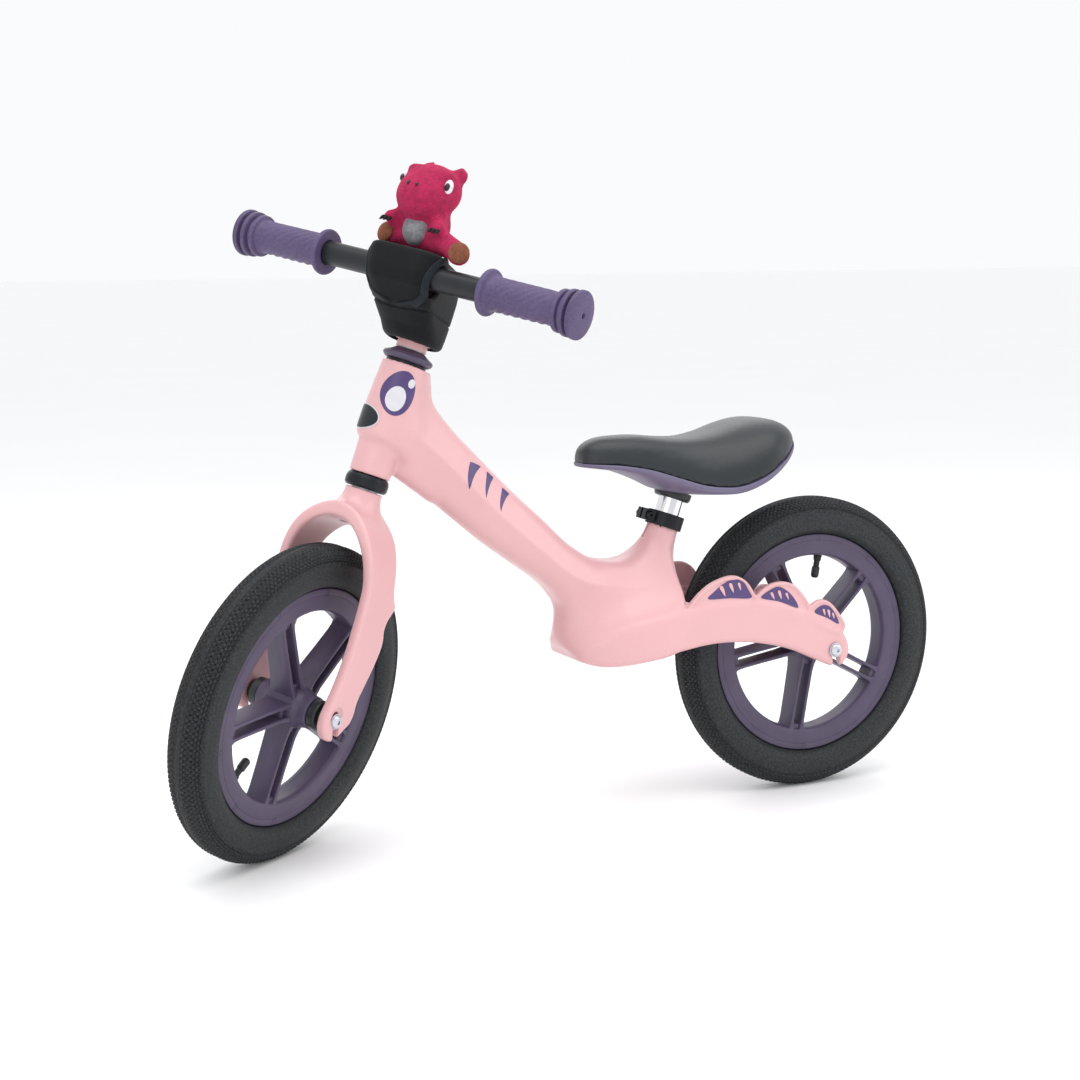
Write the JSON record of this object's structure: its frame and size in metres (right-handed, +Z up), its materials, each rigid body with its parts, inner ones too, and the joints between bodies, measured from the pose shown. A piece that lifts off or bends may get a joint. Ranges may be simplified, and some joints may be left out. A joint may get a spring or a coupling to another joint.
{
  "type": "balance bike",
  "caption": "Child's balance bike: cast frame and fork, moulded wheels with air tyres, padded handlebar with a soft toy, height-adjustable saddle.",
  "frame": {"origin": "on the ground, in the bike's middle plane, midway between the two wheel centres with the steering straight", "axes": "+X forward, +Y to the rider's left, +Z up"},
  "size_m": [0.8484, 0.3301, 0.6396],
  "materials": {
    "pink_paint": "satin pink paint on cast magnesium",
    "badge_plate": "blank dark plate",
    "black_alloy": "black anodised alloy",
    "bearing_steel": "ground steel",
    "zinc_steel": "zinc plated steel",
    "black_steel": "black oxide steel",
    "steerer_alloy": "drawn aluminium tube",
    "purple_plastic": "satin purple plastic",
    "bar_black": "satin black paint",
    "grip_rubber": "soft purple rubber",
    "neoprene": "black neoprene",
    "toy_plush": "short magenta plush",
    "rim_nylon": "moulded purple nylon",
    "tyre_rubber": "black tyre rubber",
    "tube_rubber": "butyl rubber",
    "black_plastic": "black plastic",
    "chrome_post": "polished chrome",
    "saddle_leather": "smooth black synthetic leather"
  },
  "bodies": {
    "frame": {"frame": "pink_paint", "head_badge": "badge_plate", "lower_headset_cup": "black_alloy", "upper_headset_cup": "black_alloy", "headset_outer_races": "bearing_steel", "seat_clamp_collar": "black_alloy", "seat_clamp_bolt": "black_steel", "seat_clamp_nut": "black_steel", "rear_axle": "zinc_steel", "rear_axle_bolts": "zinc_steel", "rear_axle_washers": "zinc_steel", "rear_hub_spacers": "black_plastic", "rear_bearing_inner_races": "bearing_steel"},
    "front_wheel": {"front_rim": "rim_nylon", "front_tyre": "tyre_rubber", "front_inner_tube": "tube_rubber", "front_valve_stem": "tube_rubber", "front_valve_cap": "black_plastic", "front_bearing_outer_races": "bearing_steel", "front_bearing_balls": "bearing_steel"},
    "rear_wheel": {"rear_rim": "rim_nylon", "rear_tyre": "tyre_rubber", "rear_inner_tube": "tube_rubber", "rear_valve_stem": "tube_rubber", "rear_valve_cap": "black_plastic", "rear_bearing_outer_races": "bearing_steel", "rear_bearing_balls": "bearing_steel"},
    "saddle": {"seat_post": "chrome_post", "saddle_base": "purple_plastic", "saddle_cover": "saddle_leather", "saddle_post_collar": "black_plastic"},
    "steering": {"bar_pad": "neoprene", "faceplate_bolts": "zinc_steel", "fork": "pink_paint", "front_axle": "zinc_steel", "front_axle_bolts": "zinc_steel", "front_axle_washers": "zinc_steel", "front_bearing_inner_races": "bearing_steel", "front_hub_spacers": "black_plastic", "handlebar": "bar_black", "headset_balls": "bearing_steel", "headset_dust_cover": "purple_plastic", "headset_inner_races": "bearing_steel", "left_grip": "grip_rubber", "right_grip": "grip_rubber", "star_nut": "zinc_steel", "steerer_tube": "steerer_alloy", "stem": "pink_paint", "stem_cap_bolt": "zinc_steel", "stem_faceplate": "pink_paint", "stem_pinch_bolts": "zinc_steel", "stem_top_cap": "black_alloy", "toy_animal": "toy_plush"}
  },
  "joints": [
    {"name": "steering_turn", "type": "hinge", "parent": "frame", "child": "steering", "pos_m": [0.275, 0, 0.152], "axis": [-0.3584, 0, 0.9336], "continuous": true},
    {"name": "front_wheel_spin", "type": "hinge", "parent": "steering", "child": "front_wheel", "pos_m": [0.28188, 0.00381, 0.14927], "axis": [-0.5355, 0.8192, -0.2056], "continuous": true},
    {"name": "rear_wheel_spin", "type": "hinge", "parent": "frame", "child": "rear_wheel", "pos_m": [-0.283, 0, 0.152], "axis": [0, 1, 0], "continuous": true},
    {"name": "seat_height", "type": "slide", "parent": "frame", "child": "saddle", "axis": [-0.342, 0, 0.9397], "range_m": [0, 0.07]}
  ]
}
